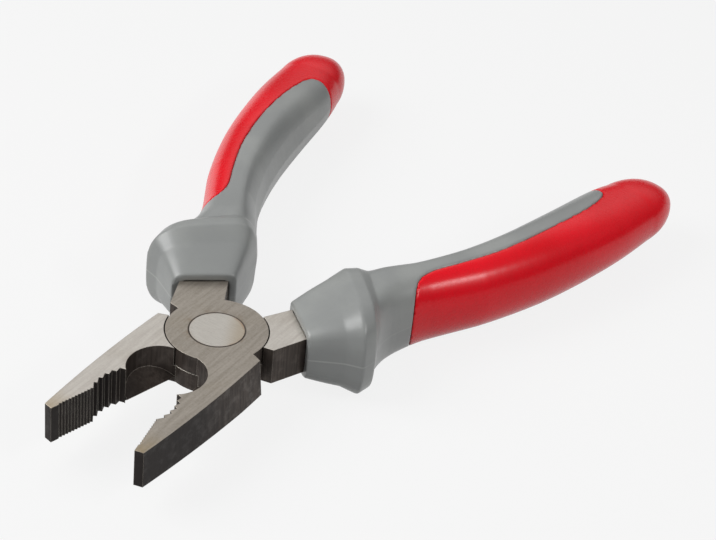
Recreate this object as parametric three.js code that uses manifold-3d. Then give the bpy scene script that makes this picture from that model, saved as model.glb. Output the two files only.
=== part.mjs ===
// Combination pliers with a lap joint and two-part moulded grips, lying half open.
// Millimetres, +Z up. The origin is the centre of the rivet's upper face. +X runs from the rivet to the
// jaw tips along the middle of the opening. Each half is drawn as it lies with the jaws shut, about the
// middle plane of the head, with its jaw on +Y and its handle on -Y; the other half is its mirror image.
import * as THREE from 'three';
import { mergeVertices } from 'three/addons/utils/BufferGeometryUtils.js';
import Module from 'manifold-3d';

// Opening of the jaws, in degrees
const REST_OPENING = 27.6;

// Head and lap joint
const HEAD_THICKNESS = 10;
const DISC_RADIUS = 12.5;
const SEAM_GAP = 0.3;
const LAP_GAP = 0.3;
const SHOULDER_HEIGHT = 2.9;
const JAW_SHOULDER_ANGLE = 66;
const JAW_SHOULDER_LEAN = 3;
const TANG_SHOULDER_ANGLE = 109;
const TANG_SHOULDER_LEAN = 1.5;

// Rivet, countersunk in both discs and flush with both faces
const RIVET_HEAD_RADIUS = 6.8;
const RIVET_SHANK_RADIUS = 4;
const RIVET_HEAD_DEPTH = 2.6;
const RIVET_CLEARANCE = 0.08;

// Jaw, measured from the rivet
const JAW_LENGTH = 49.2;
const TIP_WIDTH = 2.3;
const JAW_CROWN = 1.4;
const JAW_DRAFT = 1;
const JAW_DRAFT_END = 15;
const CLOSING_GAP = 0.1;

// Fine cross grooves behind the smooth land at the tip
const TIP_LAND = 2.2;
const FINE_PITCH = 0.89;
const FINE_DEPTH = 0.36;
const FINE_STEEPNESS = 0.5;
const CREST_CUT = 0.04;

// Pipe grip: a hollow with coarse saw teeth
const PIPE_GRIP_START = 24.8;
const PIPE_GRIP_END = 37.2;
const PIPE_GRIP_DEPTH = 2.8;
const COARSE_START = 27;
const COARSE_PITCH = 2.03;
const COARSE_DEPTH = 0.9;
const COARSE_STEEPNESS = 0.3;

// Cutter: a round pocket from above whose floor slopes to a straight edge near the underside
const POCKET_CENTRE_X = 20;
const POCKET_CENTRE_Y = -2.9;
const POCKET_RADIUS = 8;
const EDGE_ABOVE_UNDERSIDE = 1.6;
const UPPER_BEVEL_ANGLE = 30;
const LOWER_BEVEL_ANGLE = 40;

// Tang, the flat root of the handle and its tapered core in the grip
const TANG_WIDTH = 12.2;
const TANG_END_WIDTH = 6.6;
const TANG_END_THICKNESS = 6.4;
const TANG_INNER_ANGLE = 193;
const TANG_CORNER = 1;
const CORE_OVERLAP = 2;
const CORE_STEP = 0.2;
const ROOT_OVERLAP = 1;

// Grip: mouth of the sleeve, finger guard, neck, palm swell and rounded end
const MOUTH_X = -17.4;
const MOUTH_Y = -10.4;
const MOUTH_ANGLE = 25.8;
const MOUTH_WALL = 2;
const MOUTH_GAP = 0.8;
const GUARD_HALF_HEIGHT = 12.7;
const BAND_FALL = 0.3;
const NECK_HALF_HEIGHT = 11.2;
const PALM_HALF_HEIGHT = 10.4;
const END_HALF_HEIGHT = 6.9;
const MOUTH_OUTER_SQUARENESS = 4.5;
const MOUTH_INNER_SQUARENESS = 8;
const HANDLE_SQUARENESS = 2.5;
const GRIP_END_X = -144.6;
const GRIP_END_Y = -20.6;
const END_ROUNDNESS = 2.4;
const END_FLAT = 0.12;
const COVER_WALL = 2.4;
const FIT_GAP = 0.3;

// Outer and inner side of the grip in the middle plane, station by station behind the mouth.
// The guard is faceted as far as the neck, and from there the handle is one smooth sweep.
const GRIP_OUTER_LINE = [
  [-17.1, -21], [-20.2, -24.3], [-22.6, -28.3], [-26.8, -28], [-30.2, -25.2], [-37, -23],
  [-50, -24.4], [-66, -29.2], [-86, -32.7], [-106, -33.7], [-124, -33], [-136, -31.2],
];
const GRIP_INNER_LINE = [
  [-26.5, -3.3], [-32, -3.5], [-37.4, -3.7], [-40.8, -4.7], [-43.4, -6.1], [-47.5, -7.5],
  [-55.5, -10.3], [-70, -13.1], [-88, -14], [-106.5, -13], [-123.5, -11.9], [-135.5, -12.6],
];
const FACETED_STATIONS = 5;
const NECK_STATION = 6;

// Parting line between sleeve and cover, seen from above
const PARTING_LINE = [
  [-38, -28.4], [-44, -23.6], [-48.6, -19.8], [-53.5, -18.8], [-61, -20.3], [-75, -23], [-90, -23.7],
  [-105, -23.1], [-117, -21.4], [-124, -18.6], [-121.8, -14.4], [-114, -10.6], [-104, -6],
];

// Fineness of the curves
const ROUND_SEGMENTS = 64;
const CURVE_SEGMENTS = 40;
const SECTION_POINTS = 20;
const RINGS_PER_STATION = 2;
const END_RINGS = 5;
const LINE_POINTS = 32;

// How far a cutting shape runs past the piece it cuts
const BEYOND = 20;

const HALF_THICKNESS = HEAD_THICKNESS / 2;
const FACE = CLOSING_GAP / 2;
const radians = THREE.MathUtils.degToRad;

const wasm = await Module();
wasm.setup();

// A closed geometry as a solid that can be joined and cut.
function solid(geometry) {
  const bare = geometry.clone();
  bare.deleteAttribute('normal');
  bare.deleteAttribute('uv');
  const merged = mergeVertices(bare, 1e-4);
  return new wasm.Manifold(new wasm.Mesh({
    numProp: 3,
    vertProperties: new Float32Array(merged.attributes.position.array),
    triVerts: new Uint32Array(merged.index.array),
  }));
}

function geometryOf(shape) {
  const mesh = shape.getMesh();
  const geometry = new THREE.BufferGeometry();
  geometry.setAttribute('position', new THREE.BufferAttribute(mesh.vertProperties, 3));
  geometry.setIndex(new THREE.BufferAttribute(mesh.triVerts, 1));
  geometry.computeVertexNormals();
  return geometry;
}

// A flat outline raised between two heights.
function raised(shape, bottom, top) {
  const geometry = new THREE.ExtrudeGeometry(shape, {
    depth: top - bottom,
    bevelEnabled: false,
    curveSegments: CURVE_SEGMENTS,
  });
  return geometry.translate(0, 0, bottom);
}

function disc(radius, bottom, top) {
  const geometry = new THREE.CylinderGeometry(radius, radius, top - bottom, ROUND_SEGMENTS);
  return geometry.rotateX(Math.PI / 2).translate(0, 0, (bottom + top) / 2);
}

function polar(radius, degrees) {
  return new THREE.Vector2(radius * Math.cos(radians(degrees)), radius * Math.sin(radians(degrees)));
}

// A closed skin over a row of rings with equal numbers of points, with a flat fan over each end.
function skin(rings) {
  const count = rings[0].length;
  const points = rings.flat();
  const index = [];
  for (let i = 0; i + 1 < rings.length; i++) {
    for (let j = 0; j < count; j++) {
      const a = i * count + j;
      const b = i * count + (j + 1) % count;
      index.push(a, b, b + count, a, b + count, a + count);
    }
  }
  const last = (rings.length - 1) * count;
  for (let j = 1; j + 1 < count; j++) {
    index.push(0, j + 1, j);
    index.push(last, last + j, last + j + 1);
  }
  const geometry = new THREE.BufferGeometry().setFromPoints(points);
  geometry.setIndex(index);
  return geometry;
}

// Mirror image across the XZ plane, with its faces turned to point outwards again.
function mirrored(geometry) {
  const copy = geometry.clone().scale(1, -1, 1);
  const index = copy.index.array;
  for (let i = 0; i < index.length; i += 3) {
    [index[i], index[i + 1]] = [index[i + 1], index[i]];
  }
  copy.computeVertexNormals();
  return copy;
}

// Jaw blank: straight closing face, slightly crowned back and a stop shoulder against the other tang.
// The lower edge of the back stands out by the forging's draft, which fades towards the tip.
function jawBlank() {
  const corner = polar(DISC_RADIUS + SHOULDER_HEIGHT, JAW_SHOULDER_ANGLE - JAW_SHOULDER_LEAN);
  const foot = polar(DISC_RADIUS - ROOT_OVERLAP, JAW_SHOULDER_ANGLE);
  const shape = new THREE.Shape();
  shape.moveTo(JAW_LENGTH, FACE);
  shape.lineTo(JAW_LENGTH, TIP_WIDTH);
  const crown = (TIP_WIDTH + corner.y) / 2 + JAW_CROWN;
  shape.quadraticCurveTo((JAW_LENGTH + corner.x) / 2, crown, corner.x, corner.y);
  shape.lineTo(foot.x, foot.y);
  shape.lineTo(foot.x, FACE);
  const geometry = raised(shape, -HALF_THICKNESS, HALF_THICKNESS);
  const place = geometry.attributes.position;
  for (let i = 0; i < place.count; i++) {
    const onBack = place.getY(i) > TIP_WIDTH / 2 && place.getX(i) > (foot.x + corner.x) / 2;
    if (onBack && place.getZ(i) < 0) {
      const share = Math.min((JAW_LENGTH - place.getX(i)) / (JAW_LENGTH - JAW_DRAFT_END), 1);
      place.setY(i, place.getY(i) + JAW_DRAFT * share);
    }
  }
  return solid(geometry);
}

// A saw-tooth cutter through the whole thickness, with as many full teeth as fit before its end. Each tooth
// starts where the depth line lies at its near end and bites deeper by the tooth's depth.
function teethCutter(start, end, pitch, bite, depthAt, steepness) {
  const shape = new THREE.Shape();
  const count = Math.max(1, Math.floor((end - start) / pitch));
  const first = end - count * pitch;
  shape.moveTo(first, -BEYOND);
  for (let i = 0; i < count; i++) {
    const from = first + i * pitch;
    const deepest = from + pitch * steepness;
    shape.lineTo(from, FACE + depthAt(from));
    shape.lineTo(deepest, FACE + depthAt(deepest) + bite);
  }
  shape.lineTo(end, FACE + depthAt(end));
  shape.lineTo(end, -BEYOND);
  return solid(raised(shape, -HALF_THICKNESS - BEYOND, HALF_THICKNESS + BEYOND));
}

// A round pocket cutter over or under the cutting edge, with a floor that slopes away from the edge.
function pocketCutter(bevelAngle, side) {
  const edge = EDGE_ABOVE_UNDERSIDE - HALF_THICKNESS;
  const far = edge + side * (HEAD_THICKNESS + BEYOND);
  const shape = new THREE.Shape();
  shape.absarc(POCKET_CENTRE_X, POCKET_CENTRE_Y, POCKET_RADIUS, 0, 2 * Math.PI);
  const geometry = raised(shape, Math.min(edge, far), Math.max(edge, far));
  const slope = side * Math.tan(radians(bevelAngle));
  return solid(geometry.applyMatrix4(new THREE.Matrix4().makeShear(0, 0, 0, slope, 0, 0)));
}

function jaw() {
  const crest = () => CREST_CUT;
  const hollow = (x) => {
    const share = (x - PIPE_GRIP_START) / (PIPE_GRIP_END - PIPE_GRIP_START);
    return CREST_CUT + (PIPE_GRIP_DEPTH - COARSE_DEPTH) * 4 * share * (1 - share);
  };
  const fineEnd = JAW_LENGTH - TIP_LAND;
  return jawBlank()
    .subtract(teethCutter(PIPE_GRIP_END, fineEnd, FINE_PITCH, FINE_DEPTH, crest, FINE_STEEPNESS))
    .subtract(teethCutter(COARSE_START, PIPE_GRIP_END, COARSE_PITCH, COARSE_DEPTH, hollow, COARSE_STEEPNESS))
    .subtract(pocketCutter(UPPER_BEVEL_ANGLE, 1))
    .subtract(pocketCutter(LOWER_BEVEL_ANGLE, -1));
}

// Grip profiles in the middle plane, from the mouth to the last full section at the end.
// Outer points carry the half height in z.
const mouthAcross = polar(TANG_WIDTH / 2 + MOUTH_WALL, MOUTH_ANGLE - 90);
const mouthHalfHeight = HALF_THICKNESS + MOUTH_WALL;
const halfHeights = [
  mouthHalfHeight,
  (2 * mouthHalfHeight + GUARD_HALF_HEIGHT) / 3,
  (mouthHalfHeight + GUARD_HALF_HEIGHT) / 2,
  GUARD_HALF_HEIGHT,
  GUARD_HALF_HEIGHT - BAND_FALL,
  NECK_HALF_HEIGHT,
  NECK_HALF_HEIGHT,
  PALM_HALF_HEIGHT,
  PALM_HALF_HEIGHT,
  PALM_HALF_HEIGHT,
  (3 * PALM_HALF_HEIGHT + END_HALF_HEIGHT) / 4,
  (PALM_HALF_HEIGHT + 2 * END_HALF_HEIGHT) / 3,
  END_HALF_HEIGHT,
];
const outerLine = [[MOUTH_X + mouthAcross.x, MOUTH_Y + mouthAcross.y], ...GRIP_OUTER_LINE];
const innerLine = [[MOUTH_X - mouthAcross.x, MOUTH_Y - mouthAcross.y], ...GRIP_INNER_LINE];
const outerProfile = new THREE.CatmullRomCurve3(
  outerLine.map(([x, y], i) => new THREE.Vector3(x, y, halfHeights[i])),
);
const innerProfile = new THREE.CatmullRomCurve3(innerLine.map(([x, y]) => new THREE.Vector3(x, y, 0)));
const spans = outerLine.length - 1;

function signedPower(value, power) {
  return Math.sign(value) * Math.abs(value) ** power;
}

// How square the section is: as at the mouth in front, easing to that of the handle at the neck.
function squarenessAt(share, atMouth) {
  const eased = THREE.MathUtils.smoothstep(share, 0, NECK_STATION / spans);
  return THREE.MathUtils.lerp(atMouth, HANDLE_SQUARENESS, eased);
}

function middleAt(share) {
  return outerProfile.getPoint(share).add(innerProfile.getPoint(share)).divideScalar(2).setZ(0);
}

// Section of the grip at a share of its length, rounded between an ellipse and a rectangle.
function gripSection(share, inset, shrink, middle) {
  const outer = outerProfile.getPoint(share);
  const inner = innerProfile.getPoint(share);
  const across = new THREE.Vector2(outer.x - inner.x, outer.y - inner.y);
  const halfWidth = (across.length() / 2 - inset) * shrink;
  const halfHeight = (outer.z - inset) * shrink;
  across.normalize();
  const ring = [];
  for (let i = 0; i < SECTION_POINTS; i++) {
    const turn = 2 * Math.PI * i / SECTION_POINTS;
    const atMouth = Math.cos(turn) > 0 ? MOUTH_OUTER_SQUARENESS : MOUTH_INNER_SQUARENESS;
    const power = 2 / squarenessAt(share, atMouth);
    const along = halfWidth * signedPower(Math.cos(turn), power);
    const up = halfHeight * signedPower(Math.sin(turn), power);
    ring.push(new THREE.Vector3(middle.x + across.x * along, middle.y + across.y * along, up));
  }
  return ring;
}

// Outer form of the whole grip, or the same form set in by a wall all round.
function gripForm(inset) {
  const rings = [];
  for (let i = 0; i < spans; i++) {
    const count = i < FACETED_STATIONS ? 1 : RINGS_PER_STATION;
    for (let j = 0; j < count; j++) {
      const share = (i + j / count) / spans;
      rings.push(gripSection(share, inset, 1, middleAt(share)));
    }
  }
  const start = middleAt(1);
  rings.push(gripSection(1, inset, 1, start));
  const end = new THREE.Vector3(GRIP_END_X + inset, GRIP_END_Y, 0);
  for (let i = 1; i <= END_RINGS; i++) {
    const reach = Math.sin(Math.PI / 2 * i / END_RINGS);
    const shrink = Math.max((1 - reach ** END_ROUNDNESS) ** (1 / END_ROUNDNESS), END_FLAT);
    rings.push(gripSection(1, inset, shrink, start.clone().lerp(end, reach)));
  }
  return solid(skin(rings));
}

// Core of the tang inside the grip, or the cavity around it: a tapered bar with chamfered corners.
// It starts in front of the mouth, inside the root, and ends before the last station of the grip.
function tangCore(mouthGap, gap) {
  const rings = [];
  const last = spans - 1;
  for (let i = 0; i <= last; i++) {
    const share = i / spans;
    const wall = i === 0 ? mouthGap : gap;
    const left = 1 - i / last;
    const halfWidth = THREE.MathUtils.lerp(TANG_END_WIDTH, TANG_WIDTH, left * left) / 2 + wall;
    const halfHeight = THREE.MathUtils.lerp(TANG_END_THICKNESS, HEAD_THICKNESS, left) / 2 + wall;
    const across = outerProfile.getPoint(share).sub(innerProfile.getPoint(share)).setZ(0).normalize();
    const back = new THREE.Vector3(across.y, -across.x, 0);
    const shift = i === 0 ? -CORE_OVERLAP : (i === last ? gap : 0);
    const middle = middleAt(share).addScaledVector(back, shift);
    const section = [
      [halfWidth, TANG_CORNER - halfHeight], [halfWidth, halfHeight - TANG_CORNER],
      [halfWidth - TANG_CORNER, halfHeight], [TANG_CORNER - halfWidth, halfHeight],
      [-halfWidth, halfHeight - TANG_CORNER], [-halfWidth, TANG_CORNER - halfHeight],
      [TANG_CORNER - halfWidth, -halfHeight], [halfWidth - TANG_CORNER, -halfHeight],
    ];
    rings.push(section.map(([along, up]) => middle.clone().addScaledVector(across, along).setZ(up)));
  }
  return solid(skin(rings));
}

// Root of the tang between the lap disc and the mouth of the grip, with its stop shoulder.
function tangRoot() {
  const edge = polar(TANG_WIDTH / 2, MOUTH_ANGLE - 90);
  const foot = polar(DISC_RADIUS - ROOT_OVERLAP, -TANG_SHOULDER_ANGLE);
  const corner = polar(DISC_RADIUS + SHOULDER_HEIGHT, -TANG_SHOULDER_ANGLE - TANG_SHOULDER_LEAN);
  const inner = polar(DISC_RADIUS - ROOT_OVERLAP, TANG_INNER_ANGLE);
  const shape = new THREE.Shape([
    foot,
    corner,
    new THREE.Vector2(MOUTH_X + edge.x, MOUTH_Y + edge.y),
    new THREE.Vector2(MOUTH_X - edge.x, MOUTH_Y - edge.y),
    inner,
  ]);
  return solid(raised(shape, -HALF_THICKNESS, HALF_THICKNESS));
}

// Rivet, or the hole for it: two countersunk heads on one shank.
function rivet(gap) {
  const end = HALF_THICKNESS + gap;
  const neck = HALF_THICKNESS - RIVET_HEAD_DEPTH;
  const flare = (RIVET_HEAD_RADIUS - RIVET_SHANK_RADIUS) / RIVET_HEAD_DEPTH;
  const rim = RIVET_HEAD_RADIUS + gap * (1 + flare);
  const profile = [
    new THREE.Vector2(0, -end),
    new THREE.Vector2(rim, -end),
    new THREE.Vector2(RIVET_SHANK_RADIUS + gap, -neck),
    new THREE.Vector2(RIVET_SHANK_RADIUS + gap, neck),
    new THREE.Vector2(rim, end),
    new THREE.Vector2(0, end),
  ];
  return new THREE.LatheGeometry(profile, ROUND_SEGMENTS).rotateX(Math.PI / 2);
}

// One forged half. Its lap disc is the upper layer of the head for side 1, the lower one for side -1,
// and the other layer is cleared for the disc of the other half.
function forging(side) {
  const lap = side * LAP_GAP / 2;
  const outside = side * HALF_THICKNESS;
  const clear = -side * (HALF_THICKNESS + BEYOND);
  const recess = disc(DISC_RADIUS + SEAM_GAP, Math.min(clear, lap), Math.max(clear, lap));
  const layer = disc(DISC_RADIUS, Math.min(lap, outside), Math.max(lap, outside));
  return jaw()
    .add(tangRoot())
    .add(tangCore(-CORE_STEP, 0))
    .subtract(solid(recess))
    .add(solid(layer))
    .subtract(solid(rivet(RIVET_CLEARANCE)));
}

const partingLine = new THREE.SplineCurve(PARTING_LINE.map(([x, y]) => new THREE.Vector2(x, y)));

// The region of the cover, the outer side and the end, grown or shrunk across the parting line.
function coverRegion(grow) {
  const shape = new THREE.Shape();
  for (let i = 0; i <= LINE_POINTS; i++) {
    const point = partingLine.getPoint(i / LINE_POINTS);
    const along = partingLine.getTangent(i / LINE_POINTS);
    const x = point.x + along.y * grow;
    const y = point.y - along.x * grow;
    if (i === 0) {
      shape.moveTo(x, y);
    } else {
      shape.lineTo(x, y);
    }
  }
  const beyond = GRIP_END_X - BEYOND;
  const outside = partingLine.points[0].y - BEYOND;
  shape.lineTo(beyond, partingLine.points.at(-1).y);
  shape.lineTo(beyond, outside);
  shape.lineTo(partingLine.points[0].x, outside);
  const reach = GUARD_HALF_HEIGHT + BEYOND;
  return solid(raised(shape, -reach, reach));
}

const envelope = gripForm(0);

// Grey sleeve: finger guard, inner side and the core under the cover, with the cavity for the tang.
function gripSleeve() {
  return envelope
    .subtract(coverRegion(FIT_GAP / 2))
    .add(gripForm(COVER_WALL + FIT_GAP))
    .subtract(tangCore(MOUTH_GAP, FIT_GAP));
}

// Red cover: a shell over the outer side and the end of the handle.
function gripCover() {
  return envelope
    .intersect(coverRegion(-FIT_GAP / 2))
    .subtract(gripForm(COVER_WALL));
}

const finishes = {
  steel: { color: 0x8f8a83, roughness: 0.38, metalness: 1 },
  rivet: { color: 0xb5b0a8, roughness: 0.34, metalness: 1 },
  sleeve: { color: 0x8a8d8c, roughness: 0.55, metalness: 0 },
  cover: { color: 0xc81e2d, roughness: 0.35, metalness: 0 },
};

function piece(name, geometry, finish) {
  const mesh = new THREE.Mesh(geometry, new THREE.MeshStandardMaterial(finishes[finish]));
  mesh.name = name;
  return mesh;
}

const sleeveForm = geometryOf(gripSleeve());
const coverForm = geometryOf(gripCover());

const upper = new THREE.Group();
upper.rotation.z = radians(REST_OPENING / 2);
upper.add(piece('upper_half', geometryOf(forging(1)), 'steel'));
upper.add(piece('upper_grip_sleeve', sleeveForm, 'sleeve'));
upper.add(piece('upper_grip_cover', coverForm, 'cover'));

const lower = new THREE.Group();
lower.rotation.z = -radians(REST_OPENING / 2);
lower.add(piece('lower_half', mirrored(geometryOf(forging(-1))), 'steel'));
lower.add(piece('lower_grip_sleeve', mirrored(sleeveForm), 'sleeve'));
lower.add(piece('lower_grip_cover', mirrored(coverForm), 'cover'));
lower.add(piece('pivot_rivet', rivet(0), 'rivet'));

const pliers = new THREE.Group();
pliers.position.z = -HALF_THICKNESS;
pliers.add(upper, lower);

export default pliers;
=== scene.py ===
import math

import bmesh
import bpy
from mathutils import Matrix, Vector


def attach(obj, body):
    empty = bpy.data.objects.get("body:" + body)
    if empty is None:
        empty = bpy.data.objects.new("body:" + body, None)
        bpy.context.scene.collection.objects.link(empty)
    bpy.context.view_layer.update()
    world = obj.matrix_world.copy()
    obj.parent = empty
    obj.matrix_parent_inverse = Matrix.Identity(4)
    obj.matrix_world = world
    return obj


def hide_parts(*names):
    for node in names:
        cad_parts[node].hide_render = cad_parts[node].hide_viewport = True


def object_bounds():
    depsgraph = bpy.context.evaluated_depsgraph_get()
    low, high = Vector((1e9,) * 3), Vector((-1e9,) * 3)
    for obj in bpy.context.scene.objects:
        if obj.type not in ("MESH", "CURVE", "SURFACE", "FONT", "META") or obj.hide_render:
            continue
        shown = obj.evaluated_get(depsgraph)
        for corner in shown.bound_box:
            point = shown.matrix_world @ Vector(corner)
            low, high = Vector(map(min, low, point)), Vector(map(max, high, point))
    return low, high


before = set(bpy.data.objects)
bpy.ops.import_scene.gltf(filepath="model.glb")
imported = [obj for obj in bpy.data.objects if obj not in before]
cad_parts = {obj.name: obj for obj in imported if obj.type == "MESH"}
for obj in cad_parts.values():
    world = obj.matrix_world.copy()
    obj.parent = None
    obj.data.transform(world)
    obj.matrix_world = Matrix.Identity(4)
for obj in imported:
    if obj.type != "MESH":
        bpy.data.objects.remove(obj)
cad_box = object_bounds()


# Two forged halves.
# Each is one drop forging of tool steel: jaw, lap disc and tang. The flat faces are ground bright, while the
# sides, the teeth and the cutter pockets keep a dark oiled skin with the marks of the grinding wheel across it.

MM = 0.001
HALVES = {"upper": 1, "lower": -1}
REST_OPENING = math.radians(27.6)
HEAD_THICKNESS = 10 * MM
RIVET_RADIUS = 6.8 * MM
RUST_REACH = 9.4 * MM
JAW_SKIN_START, JAW_SKIN_FULL = 14 * MM, 34 * MM
TIP_STAIN_START, TIP_STAIN_FULL = 40 * MM, 54 * MM
EDGE_ROUNDING = 0.22 * MM
EDGE_SAMPLES = 6
BRUSHING_ANGLE = 0.9
MERGE_DISTANCE = 0.002 * MM
FLAT_ANGLE = math.radians(0.4)
SHARP_ANGLE = math.radians(22)


def srgb(red, green, blue):
    """A colour as it is read on a screen, 0 to 255, in the shader's linear values."""
    def linear(value):
        share = value / 255
        return share / 12.92 if share <= 0.04045 else ((share + 0.055) / 1.055) ** 2.4

    return linear(red), linear(green), linear(blue), 1


GROUND = {"upper": srgb(187, 179, 169), "lower": srgb(226, 221, 213)}
RUBBED = {"upper": srgb(159, 151, 140), "lower": srgb(205, 198, 190)}
YELLOWED = srgb(156, 142, 116)
TIP_STAIN = srgb(178, 150, 92)
RUST_FILM = srgb(134, 108, 78)
CREVICE_DIRT = srgb(46, 34, 26)
GROOVE, RIDGE = srgb(56, 50, 46), srgb(78, 70, 65)
BROWN_SKIN = srgb(58, 46, 38)
# Painted sheen: a lighter colour for the oil patches that stands in for reflections off the oil.
PAINTED_OIL_SHEEN = srgb(96, 88, 82)
JAW_SKIN = srgb(30, 26, 25)
BRIGHT_EDGE = srgb(176, 169, 159)


class Wire:
    """A socket of a node tree. Arithmetic on it adds Math nodes, and node() adds any other node."""

    def __init__(self, tree, socket=None):
        self.tree = tree
        self.socket = socket

    def node(self, kind, settings=None, sockets=None, out=0):
        """A new node with its settings, then the values or links of its sockets, as a wire from one output."""
        made = self.tree.nodes.new(kind)
        for key, value in (settings or {}).items():
            setattr(made, key, value)
        for key, value in (sockets or {}).items():
            if isinstance(value, Wire):
                self.tree.links.new(value.socket, made.inputs[key])
            else:
                made.inputs[key].default_value = value
        return Wire(self.tree, made.outputs[out])

    def math(self, operation, first, second=0.0, clamp=False):
        return self.node(
            "ShaderNodeMath", {"operation": operation, "use_clamp": clamp}, {0: first, 1: second}
        )

    def __add__(self, other):
        return self.math("ADD", self, other)

    __radd__ = __add__

    def __mul__(self, other):
        return self.math("MULTIPLY", self, other)

    __rmul__ = __mul__

    def __sub__(self, other):
        return self.math("SUBTRACT", self, other)

    def __rsub__(self, other):
        return self.math("SUBTRACT", other, self)

    def __pow__(self, power):
        return self.math("POWER", self, power)

    def __abs__(self):
        return self.math("ABSOLUTE", self)

    def step(self, low, high):
        """0 below low, 1 above high and smooth between; turned round where low is the larger."""
        return self.node(
            "ShaderNodeMapRange",
            {"interpolation_type": "SMOOTHSTEP", "clamp": True},
            {"Value": self, "From Min": low, "From Max": high},
        )

    def mix(self, off, on):
        """Colour off where this wire is 0 and colour on where it is 1, by the node's colour sockets."""
        return self.node("ShaderNodeMix", {"data_type": "RGBA"}, {0: self, 6: off, 7: on}, out=2)

    def part(self, axis):
        """One coordinate, X, Y or Z."""
        return self.node("ShaderNodeSeparateXYZ", None, {0: self}, out=axis)

    def from_axis(self):
        """The distance of these coordinates from the rivet's axis."""
        x, y = self.part("X"), self.part("Y")
        return (x * x + y * y) ** 0.5

    def stretched(self, scale, turn=0.0):
        """These coordinates turned about Z and scaled."""
        return self.node(
            "ShaderNodeMapping", None, {"Vector": self, "Rotation": (0, 0, turn), "Scale": scale}
        )

    def noise(self, scale, detail=3.0, roughness=0.55):
        """Cloudy noise from 0 to 1 at these coordinates."""
        return self.node(
            "ShaderNodeTexNoise",
            None,
            {"Vector": self, "Scale": scale, "Detail": detail, "Roughness": roughness},
        )

    def bump(self, strength, distance, **more):
        """The surface normal with this wire as its height."""
        return self.node(
            "ShaderNodeBump", None, {"Strength": strength, "Distance": distance, "Height": self, **more}
        )


def finish(name, **constants):
    """A material with its constant sockets set, its Object coordinates, and a way to feed its other sockets."""
    material = bpy.data.materials.new(name)
    material.use_nodes = True
    tree = material.node_tree
    surface = tree.nodes["Principled BSDF"]
    for key, value in constants.items():
        surface.inputs[key.replace("_", " ")].default_value = value

    def feed(key, wire):
        tree.links.new(wire.socket, surface.inputs[key])

    return material, Wire(tree).node("ShaderNodeTexCoord", out="Object"), feed


def forged_steel(name):
    """Ground bright on the flats, dark and oiled on the sides and in the pockets, with lighter patches of painted
    sheen on the oil, worn bright along the edges.
    """
    material, place, feed = finish(f"forged_steel_{name}", IOR=1.5, Specular_IOR_Level=0.2)
    turn = -HALVES[name] * REST_OPENING / 2
    along = place.stretched((1, 1, 1), turn).part("X")
    from_rivet = place.from_axis()

    normal = place.node("ShaderNodeNewGeometry", out="Normal")
    rounded = place.node("ShaderNodeBevel", {"samples": EDGE_SAMPLES}, {"Radius": EDGE_ROUNDING})
    agreeing = place.node(
        "ShaderNodeVectorMath", {"operation": "DOT_PRODUCT"}, {0: rounded, 1: normal}, out="Value"
    )
    worn = (1 - agreeing).step(0.004, 0.10)
    flat = abs(normal.part("Z")).step(0.93, 0.99)

    brushed = place.stretched((70, 1000, 1000), turn + BRUSHING_ANGLE).noise(1, 5, 0.65)
    grooves = place.stretched((1500, 1500, 60), turn).noise(1, 3, 0.6)
    mottled = place.noise(1500, 4, 0.7)
    cloudy = place.noise(60, 3, 0.5)
    oil_and_painted_sheen = place.noise(330, 4, 0.65).step(0.46, 0.66)

    rubbed = mottled.step(0.35, 0.7) * 0.35 + brushed.step(0.32, 0.68) * 0.65
    bright = rubbed.mix(GROUND[name], RUBBED[name])
    bright = (cloudy.step(0.5, 0.74) * 0.18).mix(bright, YELLOWED)
    stained = along.step(TIP_STAIN_START, TIP_STAIN_FULL) * place.noise(130, 4, 0.6).step(0.34, 0.56)
    bright = (stained * 0.6).mix(bright, TIP_STAIN)
    rusty = from_rivet.step(RUST_REACH, RIVET_RADIUS) * place.noise(260, 4, 0.6).step(0.42, 0.68)
    bright = (rusty * 0.45).mix(bright, RUST_FILM)
    crevice = abs(from_rivet - RIVET_RADIUS).step(0.42 * MM, 0.12 * MM)
    bright = (crevice * 0.85).mix(bright, CREVICE_DIRT)

    dark = grooves.step(0.3, 0.72).mix(GROOVE, RIDGE)
    dark = (cloudy.step(0.45, 0.7) * 0.5).mix(dark, BROWN_SKIN)
    # The oil patches are painted lighter, a painted sheen in place of reflections off the oil; their lower
    # roughness below is real.
    dark = (oil_and_painted_sheen * 0.3).mix(dark, PAINTED_OIL_SHEEN)
    dark = (along.step(JAW_SKIN_START, JAW_SKIN_FULL) * 0.85).mix(dark, JAW_SKIN)

    feed("Base Color", (worn * 0.5).mix(flat.mix(dark, bright), BRIGHT_EDGE))
    feed("Metallic", flat * 0.57 + 0.4)
    feed("Roughness", 0.48 - flat * 0.04 - (1 - flat) * oil_and_painted_sheen * 0.16 + mottled * 0.10)
    height = flat * brushed * 0.4 + (1 - flat) * grooves + mottled * 0.4
    feed("Normal", height.bump(0.2, 0.06 * MM, Normal=rounded))
    return material


def select_only(obj):
    """Makes obj the active object and the only selected one."""
    bpy.ops.object.select_all(action="DESELECT")
    bpy.context.view_layer.objects.active = obj
    obj.select_set(True)


def steel_piece(name, node_name, material):
    """A copy of a solid's mesh, its loose triangles merged and its edges kept sharp, in a finish of its own."""
    piece = bpy.data.objects.new(name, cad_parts[node_name].data.copy())
    bpy.context.collection.objects.link(piece)
    select_only(piece)
    bpy.ops.mesh.customdata_custom_splitnormals_clear()
    bpy.ops.object.mode_set(mode="EDIT")
    bpy.ops.mesh.select_all(action="SELECT")
    bpy.ops.mesh.remove_doubles(threshold=MERGE_DISTANCE)
    bpy.ops.mesh.dissolve_limited(angle_limit=FLAT_ANGLE)
    bpy.ops.object.mode_set(mode="OBJECT")
    bpy.ops.object.shade_smooth_by_angle(angle=SHARP_ANGLE)
    piece.data.materials.clear()
    piece.data.materials.append(material)
    return piece


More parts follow.
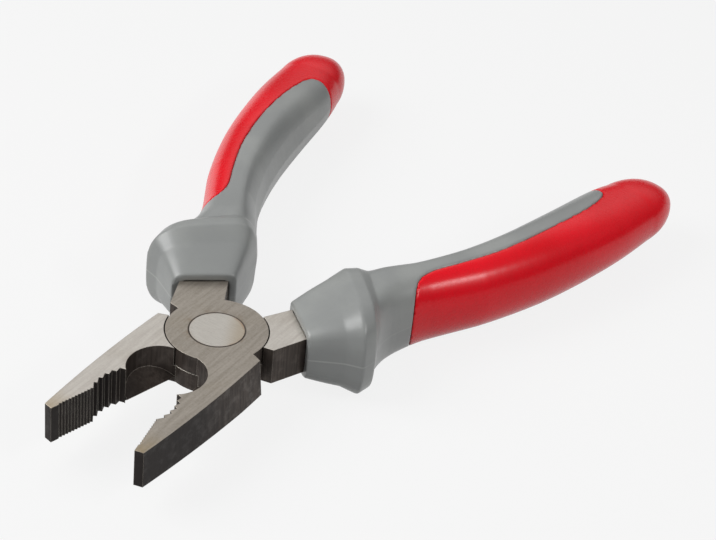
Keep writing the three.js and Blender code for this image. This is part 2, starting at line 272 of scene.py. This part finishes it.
for name in HALVES:
    half = steel_piece(f"{name}_forged_half", f"{name}_half", forged_steel(name))
    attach(half, f"{name}_body")
    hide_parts(f"{name}_half")


# Pivot rivet.
# A round steel rivet, countersunk in both discs, peened and then ground flush with the head, so that only a thin
# dark ring shows round it and a trace of rust where moisture has crept into that ring.

RUST_SIDE = math.radians(118)
RIVET_GROUND, RIVET_BRUSHED = srgb(204, 199, 191), srgb(216, 211, 203)
RIVET_MOTTLE = srgb(170, 163, 153)
DAMP_STAIN = srgb(176, 156, 124)
RING_RUST = srgb(150, 112, 74)
RING_DIRT = srgb(62, 48, 38)


def rivet_steel():
    """Ground bright, stained on the damp side, rusty at the rim and dark in the ring."""
    material, place, feed = finish("rivet_steel", IOR=2.2)
    radius = place.from_axis()
    rim = radius.step(RIVET_RADIUS - 0.9 * MM, RIVET_RADIUS)
    ring = radius.step(RIVET_RADIUS - 0.2 * MM, RIVET_RADIUS - 0.05 * MM)
    to_damp_side = place.part("X") * math.cos(RUST_SIDE) + place.part("Y") * math.sin(RUST_SIDE)
    damp = to_damp_side.step(1 * MM, 6 * MM)
    rust = rim * place.noise(160, 3, 0.6).step(0.42, 0.66) * (0.4 + damp * 0.6)
    brushed = place.stretched((1800, 160, 1800), 0.6).noise(2, 4, 0.6)
    mottled = place.noise(1500, 4, 0.7)

    ground = brushed.step(0.3, 0.7).mix(RIVET_GROUND, RIVET_BRUSHED)
    ground = (mottled.step(0.5, 0.8) * 0.3).mix(ground, RIVET_MOTTLE)
    ground = (damp * 0.5).mix(ground, DAMP_STAIN)
    ground = (rust * 0.8).mix(ground, RING_RUST)
    feed("Base Color", ring.mix(ground, RING_DIRT))
    feed("Metallic", 0.97 - rust * 0.5)
    feed("Roughness", 0.36 + mottled * 0.1 + rust * 0.25)
    feed("Normal", (brushed + mottled * 0.5).bump(0.2, 0.05 * MM))
    return material


rivet = steel_piece("flush_rivet", "pivot_rivet", rivet_steel())
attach(rivet, "lower_body")
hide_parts("pivot_rivet")


# Grey grip sleeves.
# Each is a soft grey plastic moulded over the tang: a flared finger guard with a raised band, a waist behind it and
# the inner side of the handle. Modelled once, in millimetres about the middle plane, as it lies with the jaws shut.

TANG_WIDTH = 12.2
TANG_END_WIDTH = 6.6
TANG_END_THICKNESS = 6.4
TANG_FLAT, TANG_SIDE = 0.88, 0.85
TANG_CORNERS = [
    (1, -TANG_SIDE), (1, TANG_SIDE), (TANG_FLAT, 1), (-TANG_FLAT, 1),
    (-1, TANG_SIDE), (-1, -TANG_SIDE), (-TANG_FLAT, -1), (TANG_FLAT, -1),
]
FIT_GAP = 0.3
MOUTH = Vector((-17.4, -10.4, 0))
MOUTH_ANGLE = math.radians(25.8)
MOUTH_WALL = 2
MOUTH_PRESS = 0.15
MOUTH_OVERCUT = 2
MOUTH_HALF_HEIGHT = 7
GUARD_HALF_HEIGHT = 12.7
NECK_HALF_HEIGHT = 11.2
PALM_HALF_HEIGHT = 10.4
END_HALF_HEIGHT = 7.7
GRIP_END = Vector((-145.8, -21.8, 0))
END_TIP_SHARE = 0.04
COVER_WALL = 2.4
RING_POINTS = 56
RINGS_PER_STATION = 6
END_RINGS = 14
MOULD_GRAIN = 0.4 * MM
MOULD_SMOOTHING = 0.5
MOULD_SMOOTHINGS = 3

mouth_across = Vector((math.sin(MOUTH_ANGLE), -math.cos(MOUTH_ANGLE), 0)) * (TANG_WIDTH / 2 + MOUTH_WALL)
# Stations along the grip: outer and inner point, half height, squareness of the outer and of the inner corners,
# and how far the inner side leans in towards its top and bottom edge. The guard is faceted as far as its raised
# band, and from the waist on the handle is one smooth sweep.
STATIONS = [
    (*(MOUTH + mouth_across).xy, *(MOUTH - mouth_across).xy, MOUTH_HALF_HEIGHT, 5, 8, 0),
    (-17.1, -21.0, -26.5, -3.3, 8.7, 4.2, 7, 0),
    (-20.2, -24.3, -32.0, -3.5, 10.2, 3.6, 6.5, 0.03),
    (-22.6, -28.3, -37.4, -3.7, GUARD_HALF_HEIGHT, 3.1, 6, 0.1),
    (-26.8, -28.0, -40.8, -4.7, GUARD_HALF_HEIGHT - 0.3, 3.1, 5.5, 0.15),
    (-30.2, -25.2, -43.4, -6.1, NECK_HALF_HEIGHT, 2.9, 5, 0.22),
    (-37.0, -23.0, -47.5, -7.5, NECK_HALF_HEIGHT, 2.5, 6, 0.34),
    (-50.0, -24.4, -55.5, -10.3, PALM_HALF_HEIGHT, 2.2, 7, 0.42),
    (-66.0, -29.2, -70.0, -13.1, PALM_HALF_HEIGHT, 2.1, 7, 0.45),
    (-86.0, -32.7, -88.0, -14.0, PALM_HALF_HEIGHT, 2.1, 7, 0.45),
    (-106.0, -33.7, -106.5, -13.0, 9.5, 2.2, 6, 0.42),
    (-118.5, -33.4, -118.2, -12.2, 8.5, 2.3, 4.5, 0.34),
    (-130.0, -32.2, -129.6, -12.4, END_HALF_HEIGHT, 2.3, 2.5, 0.1),
]
FACETED_STATIONS = 5

# The line between grey and red, seen from above: from the outer side behind the guard, along the handle, round the
# end of the grey tongue and out over the inner side.
PARTING_LINE = [
    (-38.0, -28.4), (-44.0, -23.6), (-48.6, -19.8), (-53.5, -18.8), (-61.0, -20.3), (-75.0, -23.0), (-90.0, -23.7),
    (-105.0, -23.1), (-116.2, -21.4), (-121.6, -19.3), (-122.9, -16.2), (-121.4, -12.0), (-118.0, -6.0),
]
PARTING_STEPS = 96
BEYOND = 20

GREY, PALE_GREY = srgb(132, 134, 133), srgb(142, 144, 142)
GREY_GRAIN = srgb(126, 128, 127)
SEAM = srgb(186, 187, 184)


def between(points, share):
    """A smooth line through the points, share counted from 0 at the first to 1 at the last."""
    spans = len(points) - 1
    i = min(int(share * spans), spans - 1)
    four = [Vector(points[min(max(i + k, 0), spans)]) for k in (-1, 0, 1, 2)]
    if i == 0:
        four[0] = 2 * four[1] - four[2]
    if i == spans - 1:
        four[3] = 2 * four[2] - four[1]
    knots = [0.0]
    for a, b in zip(four, four[1:]):
        knots.append(knots[-1] + max((b - a).length, 1e-6) ** 0.5)
    t = knots[1] + (share * spans - i) * (knots[2] - knots[1])
    row = four
    for level in (1, 2, 3):
        row = [
            a.lerp(b, (t - knots[k]) / (knots[k + level] - knots[k]))
            for k, (a, b) in enumerate(zip(row, row[1:]))
        ]
    return row[0]


def station(share):
    """Outer and inner point, half height, two squarenesses and lean at a share of the grip's length."""
    at = share * (len(STATIONS) - 1)
    k = int(at)
    if k < FACETED_STATIONS:
        row = [a + (b - a) * (at - k) for a, b in zip(STATIONS[k], STATIONS[k + 1])]
    else:
        pairs = [between([Vector(line[i:i + 2]).to_3d() for line in STATIONS], share) for i in (0, 2, 4, 6)]
        row = [value for pair in pairs for value in pair.xy]
    return Vector((*row[0:2], 0)), Vector((*row[2:4], 0)), *row[4:8]


def section(outer, inner, half_height, squareness, inner_squareness, lean, inset=0.0, shrink=1.0, middle=None):
    """Points of a section, rounded between an ellipse and a rectangle, more or less so on the inner side."""
    across = (outer - inner) / 2
    half_width = (across.length - inset) * shrink
    half_height = (half_height - inset) * shrink
    across.normalize()
    middle = middle or (outer + inner) / 2
    points = []
    for k in range(RING_POINTS):
        c, s = math.cos(math.tau * k / RING_POINTS), math.sin(math.tau * k / RING_POINTS)
        power = 2 / (squareness if c > 0 else inner_squareness)
        along = half_width * math.copysign(abs(c) ** power, c)
        up = half_height * math.copysign(abs(s) ** power, s)
        if c < 0:
            along *= 1 - lean * (up / half_height) ** 2
        points.append((middle + across * along + Vector((0, 0, up))) * MM)
    return points


def grip_sections(inset):
    """The whole grip from mouth to end, or the form that lies this far inside it."""
    steps = (len(STATIONS) - 1) * RINGS_PER_STATION
    rows = [section(*station(k / steps), inset) for k in range(steps + 1)]
    last = station(1)
    start, end = (last[0] + last[1]) / 2, GRIP_END + Vector((inset, 0, 0))
    for k in range(1, END_RINGS + 1):
        angle = math.pi / 2 * k / END_RINGS
        shrink = max(math.cos(angle), END_TIP_SHARE)
        rows.append(section(*last, inset, shrink, start.lerp(end, math.sin(angle))))
    return rows


def tang_sections(gap):
    """The tapered tang with a gap round it, except at the mouth, whose rim is pressed on."""
    rows = []
    last = len(STATIONS) - 2
    for k in range(last + 1):
        outer, inner = station(k / (len(STATIONS) - 1))[:2]
        at_mouth = k == 0
        left = 1 - k / last
        room = -MOUTH_PRESS if at_mouth else gap
        wide = (TANG_END_WIDTH + (TANG_WIDTH - TANG_END_WIDTH) * left * left) / 2 + room
        high = (TANG_END_THICKNESS + (HEAD_THICKNESS / MM - TANG_END_THICKNESS) * left) / 2 + room
        across = (outer - inner).normalized()
        back = Vector((across.y, -across.x, 0))
        middle = (outer + inner) / 2 - back * (MOUTH_OVERCUT if at_mouth else 0)
        rows.append([(middle + across * wide * a + Vector((0, 0, high * b))) * MM for a, b in TANG_CORNERS])
    return rows


def lofted(name, sections):
    """A face is extruded from section to section, its rim laid on each one."""
    bpy.ops.object.select_all(action="DESELECT")
    bpy.ops.mesh.primitive_circle_add(vertices=len(sections[0]), fill_type="NGON")
    obj = bpy.context.object
    obj.name = name
    bpy.ops.object.mode_set(mode="EDIT")
    bpy.ops.mesh.select_all(action="SELECT")
    for k, points in enumerate(sections):
        if k > 0:
            bpy.ops.mesh.extrude_region_move()
        mesh = bmesh.from_edit_mesh(obj.data)
        rim = [v for v in mesh.verts if v.select]
        for v, p in zip(rim, points):
            v.co = p
        bmesh.update_edit_mesh(obj.data)
    bpy.ops.mesh.select_all(action="SELECT")
    bpy.ops.mesh.normals_make_consistent(inside=False)
    bpy.ops.object.mode_set(mode="OBJECT")
    return obj


def cover_region():
    """The space of the red cover: outside the parting line, as far as the end of the handle."""
    points = [Vector((*point, 0)) for point in PARTING_LINE]
    outline = [between(points, k / PARTING_STEPS) for k in range(PARTING_STEPS + 1)]
    outside = PARTING_LINE[0][1] - BEYOND
    outline += [
        Vector((GRIP_END.x - BEYOND, PARTING_LINE[-1][1], 0)),
        Vector((GRIP_END.x - BEYOND, outside, 0)),
        Vector((PARTING_LINE[0][0], outside, 0)),
    ]
    reach = Vector((0, 0, GUARD_HALF_HEIGHT + BEYOND))
    return lofted("cover_region", [[(p - reach) * MM for p in outline], [(p + reach) * MM for p in outline]])


def applied(obj, kind, **settings):
    """Adds a modifier with these settings and applies it."""
    select_only(obj)
    modifier = obj.modifiers.new(kind.lower(), kind)
    for key, value in settings.items():
        setattr(modifier, key, value)
    bpy.ops.object.modifier_apply(modifier=modifier.name)


def joined(obj, operation, other):
    """Joins obj with the other form, or cuts it by the other, which is used up."""
    applied(obj, "BOOLEAN", operation=operation, object=other, solver="EXACT")
    bpy.data.objects.remove(other)


def moulded(obj):
    """Gives a joined form the even skin and soft edges of a moulding."""
    applied(obj, "REMESH", mode="VOXEL", voxel_size=MOULD_GRAIN)
    applied(obj, "SMOOTH", factor=MOULD_SMOOTHING, iterations=MOULD_SMOOTHINGS)
    bpy.ops.object.shade_smooth()


def fitted(master, name, side):
    """A copy of a piece modelled for the upper half, turned to the rest opening or mirrored for the lower half."""
    piece = bpy.data.objects.new(name, master.data.copy())
    bpy.context.collection.objects.link(piece)
    turn = Matrix.Rotation(side * REST_OPENING / 2, 4, "Z")
    flip = Matrix.Diagonal((1, side, 1, 1))
    piece.data.transform(Matrix.Translation((0, 0, -HEAD_THICKNESS / 2)) @ turn @ flip)
    if side < 0:
        piece.data.flip_normals()
    return piece


def grey_plastic(name):
    """Half-gloss grey with a fine grain, and a pale mould seam round the middle that is plainest on the guard."""
    material, place, feed = finish(f"grey_plastic_{name}", IOR=1.48, Specular_IOR_Level=0.55)
    side = HALVES[name]
    shut = place.stretched((1, 1, 1), -side * REST_OPENING / 2)
    outwards, backwards = shut.part("Y") * -side, shut.part("X") * -1
    on_guard = outwards.step(14 * MM, 15 * MM) * backwards.step(24 * MM, 22 * MM)
    off_middle = abs(place.part("Z") + HEAD_THICKNESS / 2)
    seam = off_middle.step(0.3 * MM, 0.1 * MM) * (0.3 + on_guard * 0.7)
    fine = place.noise(2600, 2, 0.5)
    grain = place.noise(900, 3, 0.6)
    cloudy = place.noise(60, 3, 0.5)

    body = cloudy.step(0.35, 0.7).mix(GREY, PALE_GREY)
    body = (grain.step(0.5, 0.8) * 0.25).mix(body, GREY_GRAIN)
    feed("Base Color", (seam * 0.35).mix(body, SEAM))
    feed("Roughness", 0.3 + grain * 0.1)
    feed("Normal", (fine * 0.6 + grain * 0.6 + seam * 0.6).bump(0.2, 0.05 * MM))
    return material


sleeve = lofted("sleeve_master", grip_sections(0))
joined(sleeve, "DIFFERENCE", cover_region())
joined(sleeve, "UNION", lofted("core", grip_sections(COVER_WALL + FIT_GAP)))
joined(sleeve, "DIFFERENCE", lofted("cavity", tang_sections(FIT_GAP)))
moulded(sleeve)
for name, side in HALVES.items():
    piece = fitted(sleeve, f"{name}_grey_sleeve", side)
    piece.data.materials.append(grey_plastic(name))
    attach(piece, f"{name}_body")
    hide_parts(f"{name}_grip_sleeve")
bpy.data.objects.remove(sleeve)


# Red grip covers.
# Each is a harder red plastic moulded as a second shot over the outer side and the end of the handle, flush with
# the grey sleeve, with a satin gloss and a faint grain.

RED, BRIGHT_RED = srgb(212, 5, 22), srgb(226, 11, 30)
RED_GRAIN = srgb(194, 4, 19)


def red_plastic(name):
    """Satin red with a faint grain."""
    material, place, feed = finish(f"red_plastic_{name}", IOR=1.5, Specular_IOR_Level=0.32)
    fine = place.noise(5200, 2, 0.5)
    grain = place.noise(900, 3, 0.6)
    cloudy = place.noise(45, 3, 0.5)
    body = cloudy.step(0.3, 0.7).mix(RED, BRIGHT_RED)
    feed("Base Color", (grain.step(0.4, 0.7) * 0.25).mix(body, RED_GRAIN))
    feed("Roughness", 0.23 + grain * 0.08)
    feed("Normal", fine.bump(0.11, 0.03 * MM))
    return material


cover = lofted("cover_master", grip_sections(0))
joined(cover, "INTERSECT", cover_region())
joined(cover, "DIFFERENCE", lofted("core", grip_sections(COVER_WALL)))
moulded(cover)
for name, side in HALVES.items():
    piece = fitted(cover, f"{name}_red_cover", side)
    piece.data.materials.append(red_plastic(name))
    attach(piece, f"{name}_body")
    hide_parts(f"{name}_grip_cover")
bpy.data.objects.remove(cover)


# Table and light.
# A white table top under the guards. A large soft box above on the left lights the flats, a narrow one on the right
# draws the highlights along the grips, and a pale ceiling that is brighter on the far side fills the rest.

TABLE_SIZE = 8
TABLE_GREY = (0.42, 0.42, 0.42, 1)
TABLE_ROUGHNESS = 0.9
TABLE_GLOW = 0.85
WHITE = (1, 1, 1, 1)
ROOM_LEVEL = 0.1
CEILING_LEVEL = 0.2
FAR_LEVEL = 0.55
FAR_GLEAM = 0.15
LIGHT_AIM = Vector((-0.05, 0, 0))
VIEW_AZIMUTH = math.radians(118.51)
VIEW_ELEVATION = math.radians(34.519)
VIEW_ROLL = math.radians(6.363)

towards = Vector((math.sin(VIEW_AZIMUTH), -math.cos(VIEW_AZIMUTH), 0))
rightwards = Vector((math.cos(VIEW_AZIMUTH), math.sin(VIEW_AZIMUTH), 0))
upwards = Vector((0, 0, 1))
lowest = cad_box[0].z


def seen_by(wires, *rays):
    """1 for rays of any of these kinds and 0 for all others."""
    found = wires.node("ShaderNodeLightPath", out=rays[0])
    for ray in rays[1:]:
        found = wires.math("ADD", found, wires.node("ShaderNodeLightPath", out=ray), clamp=True)
    return found


bpy.ops.object.select_all(action="DESELECT")
bpy.ops.mesh.primitive_plane_add(size=TABLE_SIZE, location=(0, 0, lowest))
table = bpy.context.object
table.name = "table_top"
paper = bpy.data.materials.new("white_table")
paper.use_nodes = True
tree = paper.node_tree
surface = tree.nodes["Principled BSDF"]
surface.inputs["Base Color"].default_value = TABLE_GREY
surface.inputs["Roughness"].default_value = TABLE_ROUGHNESS
wires = Wire(tree)
seen = seen_by(wires, "Is Camera Ray", "Is Glossy Ray", "Is Transmission Ray")
glow = wires.node("ShaderNodeEmission", None, {"Color": WHITE, "Strength": 1.0})
lit = Wire(tree, surface.outputs["BSDF"])
mixed = wires.node("ShaderNodeMixShader", None, {0: seen * TABLE_GLOW, 1: lit, 2: glow})
tree.links.new(mixed.socket, tree.nodes["Material Output"].inputs["Surface"])
table.data.materials.append(paper)

room = bpy.data.worlds.new("pale_room")
bpy.context.scene.world = room
room.use_nodes = True
tree = room.node_tree
sky = tree.nodes["Background"]
wires = Wire(tree)
direction = wires.node("ShaderNodeTexCoord", out="Generated")
away = direction.part("X") * -towards.x + direction.part("Y") * -towards.y
ceiling = direction.part("Z").step(0.22, 0.52)
straight = seen_by(wires, "Is Camera Ray", "Is Transmission Ray")
mirrored = seen_by(wires, "Is Glossy Ray")
far_side = away.step(0.4, 0.9) * (FAR_LEVEL + mirrored * FAR_GLEAM)
level = ceiling * (far_side + CEILING_LEVEL) + ROOM_LEVEL
tree.links.new((straight + (1 - straight) * level).socket, sky.inputs["Strength"])
sky.inputs["Color"].default_value = WHITE


def standing(place, right, up, back):
    """The matrix of a lamp or camera at a place, with these axes."""
    return Matrix.Translation(place) @ Matrix((right, up, back)).transposed().to_4x4()


def soft_box(name, place, size, power):
    """A rectangular lamp of this width, depth and power, turned to the tool."""
    light = bpy.data.lights.new(name, "AREA")
    light.shape = "RECTANGLE"
    light.size, light.size_y = size
    light.energy = power
    lamp = bpy.data.objects.new(name, light)
    bpy.context.collection.objects.link(lamp)
    facing = (place - LIGHT_AIM).normalized()
    sideways = towards.cross(facing).normalized()
    lamp.matrix_world = standing(place, sideways, facing.cross(sideways), facing)


soft_box("key_soft_box", -0.44 * rightwards + 0.07 * towards + 0.44 * upwards, (0.44, 0.44), 4.15)
soft_box("strip_soft_box", 0.52 * rightwards + 0.20 * towards + 0.42 * upwards, (0.06, 0.28), 1.6)


# Camera.
# A long lens looking down on the open pliers from in front of the jaw tips, turned a little about its own axis.
# It stands where the rivet falls on its own pixel of the picture.

IMAGE_WIDTH, IMAGE_HEIGHT = 716, 540
SENSOR_WIDTH = 36
FOCAL_PIXELS = 1942.7
PIVOT_DISTANCE = 467.44 * MM
PIVOT_PIXEL = (217.0, 329.64)
NEAREST = 0.01

camera = bpy.data.objects.new("camera", bpy.data.cameras.new("camera"))
bpy.context.collection.objects.link(camera)
camera.data.sensor_width = SENSOR_WIDTH
camera.data.lens = FOCAL_PIXELS * SENSOR_WIDTH / IMAGE_WIDTH
camera.data.clip_start = NEAREST
back = towards * math.cos(VIEW_ELEVATION) + upwards * math.sin(VIEW_ELEVATION)
level_up = back.cross(rightwards)
right = rightwards * math.cos(VIEW_ROLL) + level_up * math.sin(VIEW_ROLL)
up = level_up * math.cos(VIEW_ROLL) - rightwards * math.sin(VIEW_ROLL)
to_pivot = (
    right * (PIVOT_PIXEL[0] - IMAGE_WIDTH / 2) / FOCAL_PIXELS
    - up * (PIVOT_PIXEL[1] - IMAGE_HEIGHT / 2) / FOCAL_PIXELS
    - back
)
camera.matrix_world = standing(-to_pivot * PIVOT_DISTANCE, right, up, back)
bpy.context.scene.camera = camera
bpy.context.scene.view_settings.view_transform = "Standard"
